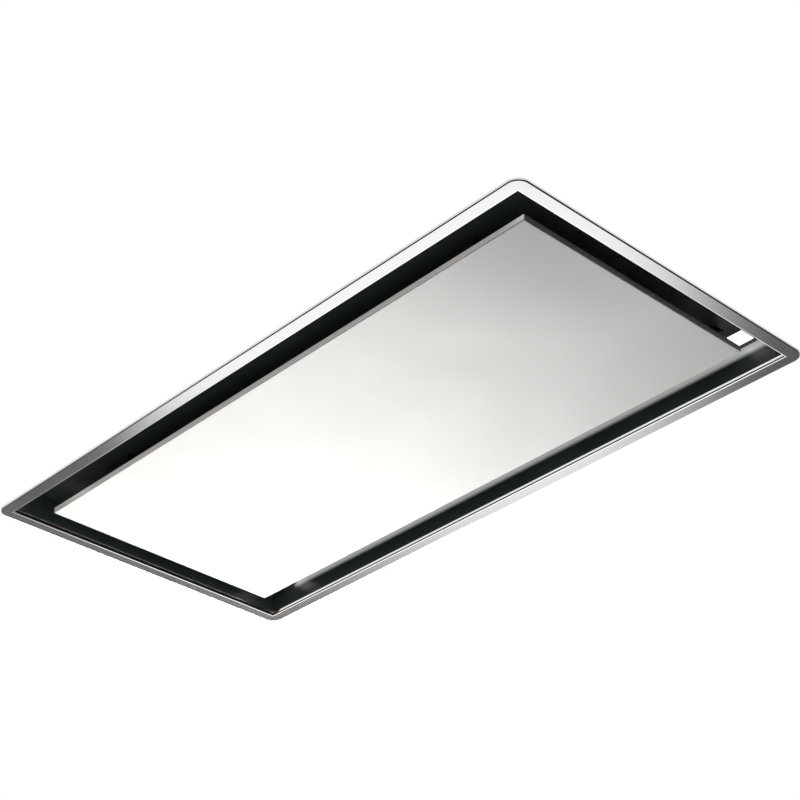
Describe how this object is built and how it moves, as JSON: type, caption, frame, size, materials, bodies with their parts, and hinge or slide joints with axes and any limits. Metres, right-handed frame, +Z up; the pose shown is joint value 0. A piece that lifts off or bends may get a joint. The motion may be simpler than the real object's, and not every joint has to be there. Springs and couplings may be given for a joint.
{
  "type": "ceiling range hood",
  "caption": "Flush ceiling hood: steel trim round a black recess, hinged suction panel with a slot all round, lamps in the corners, filters, blower and duct spigot above.",
  "frame": {"origin": "centre of the trim's visible lower face, level with the ceiling's underside less the trim's edge", "axes": "+X along the length, to the control box's end; +Z up into the ceiling, against the air's way in; +Y to the hinged side of the panel"},
  "size_m": [1, 0.5, 0.36],
  "materials": {
    "trim_steel": "satin stainless steel, fine grain, lip polished",
    "panel_steel": "soft satin stainless steel",
    "seal_foam": "pale closed-cell foam",
    "galvanised_sheet": "zinc-coated steel sheet, dull spangle",
    "black_enamel": "black satin enamel on steel sheet",
    "black_steel": "black powder coat",
    "plated_steel": "bright zinc plate",
    "magnet_ferrite": "dull grey ferrite",
    "black_plastic": "moulded, fine texture",
    "grey_plastic": "moulded, fine texture",
    "white_plastic": "moulded, fine texture",
    "flap_plastic": "moulded, fine texture",
    "motor_cast": "cast, as made",
    "black_rubber": "matt",
    "board_green": "green solder mask",
    "capacitor_aluminium": "drawn can, semi-bright",
    "filter_aluminium": "expanded metal, semi-bright",
    "lamp_glass": "opal diffuser, smooth",
    "lamp_cast": "cast with fins, as made",
    "rivet_aluminium": "bright"
  },
  "bodies": {
    "housing": {"cable_gland": "grey_plastic", "casing_back": "galvanised_sheet", "casing_front": "galvanised_sheet", "casing_left": "galvanised_sheet", "casing_right": "galvanised_sheet", "casing_top": "galvanised_sheet", "catch_holder_left": "black_plastic", "catch_holder_right": "black_plastic", "catch_magnets": "magnet_ferrite", "circuit_board": "board_green", "control_box": "grey_plastic", "control_box_lid": "grey_plastic", "edge_seal": "seal_foam", "filter_frame_left": "filter_aluminium", "filter_frame_right": "filter_aluminium", "filter_mesh_left": "filter_aluminium", "filter_mesh_right": "filter_aluminium", "filter_seat": "black_enamel", "flap_pin": "plated_steel", "hanging_rail_left": "galvanised_sheet", "hanging_rail_right": "galvanised_sheet", "hinge_bracket_left": "black_steel", "hinge_bracket_right": "black_steel", "hinge_pins": "plated_steel", "lamp_body_back_left": "lamp_cast", "lamp_body_back_right": "lamp_cast", "lamp_body_front_left": "lamp_cast", "lamp_body_front_right": "lamp_cast", "lamp_driver": "white_plastic", "lamp_lens_back_left": "lamp_glass", "lamp_lens_back_right": "lamp_glass", "lamp_lens_front_left": "lamp_glass", "lamp_lens_front_right": "lamp_glass", "motor_bracket": "galvanised_sheet", "motor_housing": "motor_cast", "motor_isolators": "black_rubber", "outlet_spigot": "black_plastic", "recess_plate": "black_enamel", "recess_wall_back": "black_enamel", "recess_wall_front": "black_enamel", "recess_wall_left": "black_enamel", "recess_wall_right": "black_enamel", "run_capacitor": "capacitor_aluminium", "scroll_left": "grey_plastic", "scroll_right": "grey_plastic", "terminal_block": "white_plastic", "trim_frame": "trim_steel"},
    "panel": {"panel_skin": "panel_steel", "panel_stiffener": "galvanised_sheet", "catch_strikers": "galvanised_sheet", "hinge_arm_left": "black_steel", "hinge_arm_right": "black_steel"},
    "latch_left": {"filter_latch_left": "black_plastic"},
    "latch_right": {"filter_latch_right": "black_plastic"},
    "rotor": {"impeller": "black_plastic", "motor_shaft": "plated_steel"},
    "flap_front": {"flap_front": "flap_plastic"},
    "flap_back": {"flap_back": "flap_plastic"}
  },
  "joints": [
    {"name": "panel_hinge", "type": "hinge", "parent": "housing", "child": "panel", "pos_m": [0, 0.176, 0.024], "axis": [1, 0, 0], "range_deg": [0, 90]},
    {"name": "latch_slide_left", "type": "slide", "parent": "housing", "child": "latch_left", "axis": [0, 1, 0], "range_m": [0, 0.006], "stiffness_N_per_m": 400, "springref_m": -0.004},
    {"name": "latch_slide_right", "type": "slide", "parent": "housing", "child": "latch_right", "axis": [0, 1, 0], "range_m": [0, 0.006], "stiffness_N_per_m": 400, "springref_m": -0.004},
    {"name": "rotor_spin", "type": "hinge", "parent": "housing", "child": "rotor", "pos_m": [0, -0.0395, 0.165], "axis": [1, 0, 0], "continuous": true},
    {"name": "flap_front_swing", "type": "hinge", "parent": "housing", "child": "flap_front", "pos_m": [0, 0.0315, 0.309], "axis": [-1, 0, 0], "range_deg": [0, 75]},
    {"name": "flap_back_swing", "type": "hinge", "parent": "housing", "child": "flap_back", "pos_m": [0, 0.0315, 0.309], "axis": [1, 0, 0], "range_deg": [0, 75]}
  ]
}
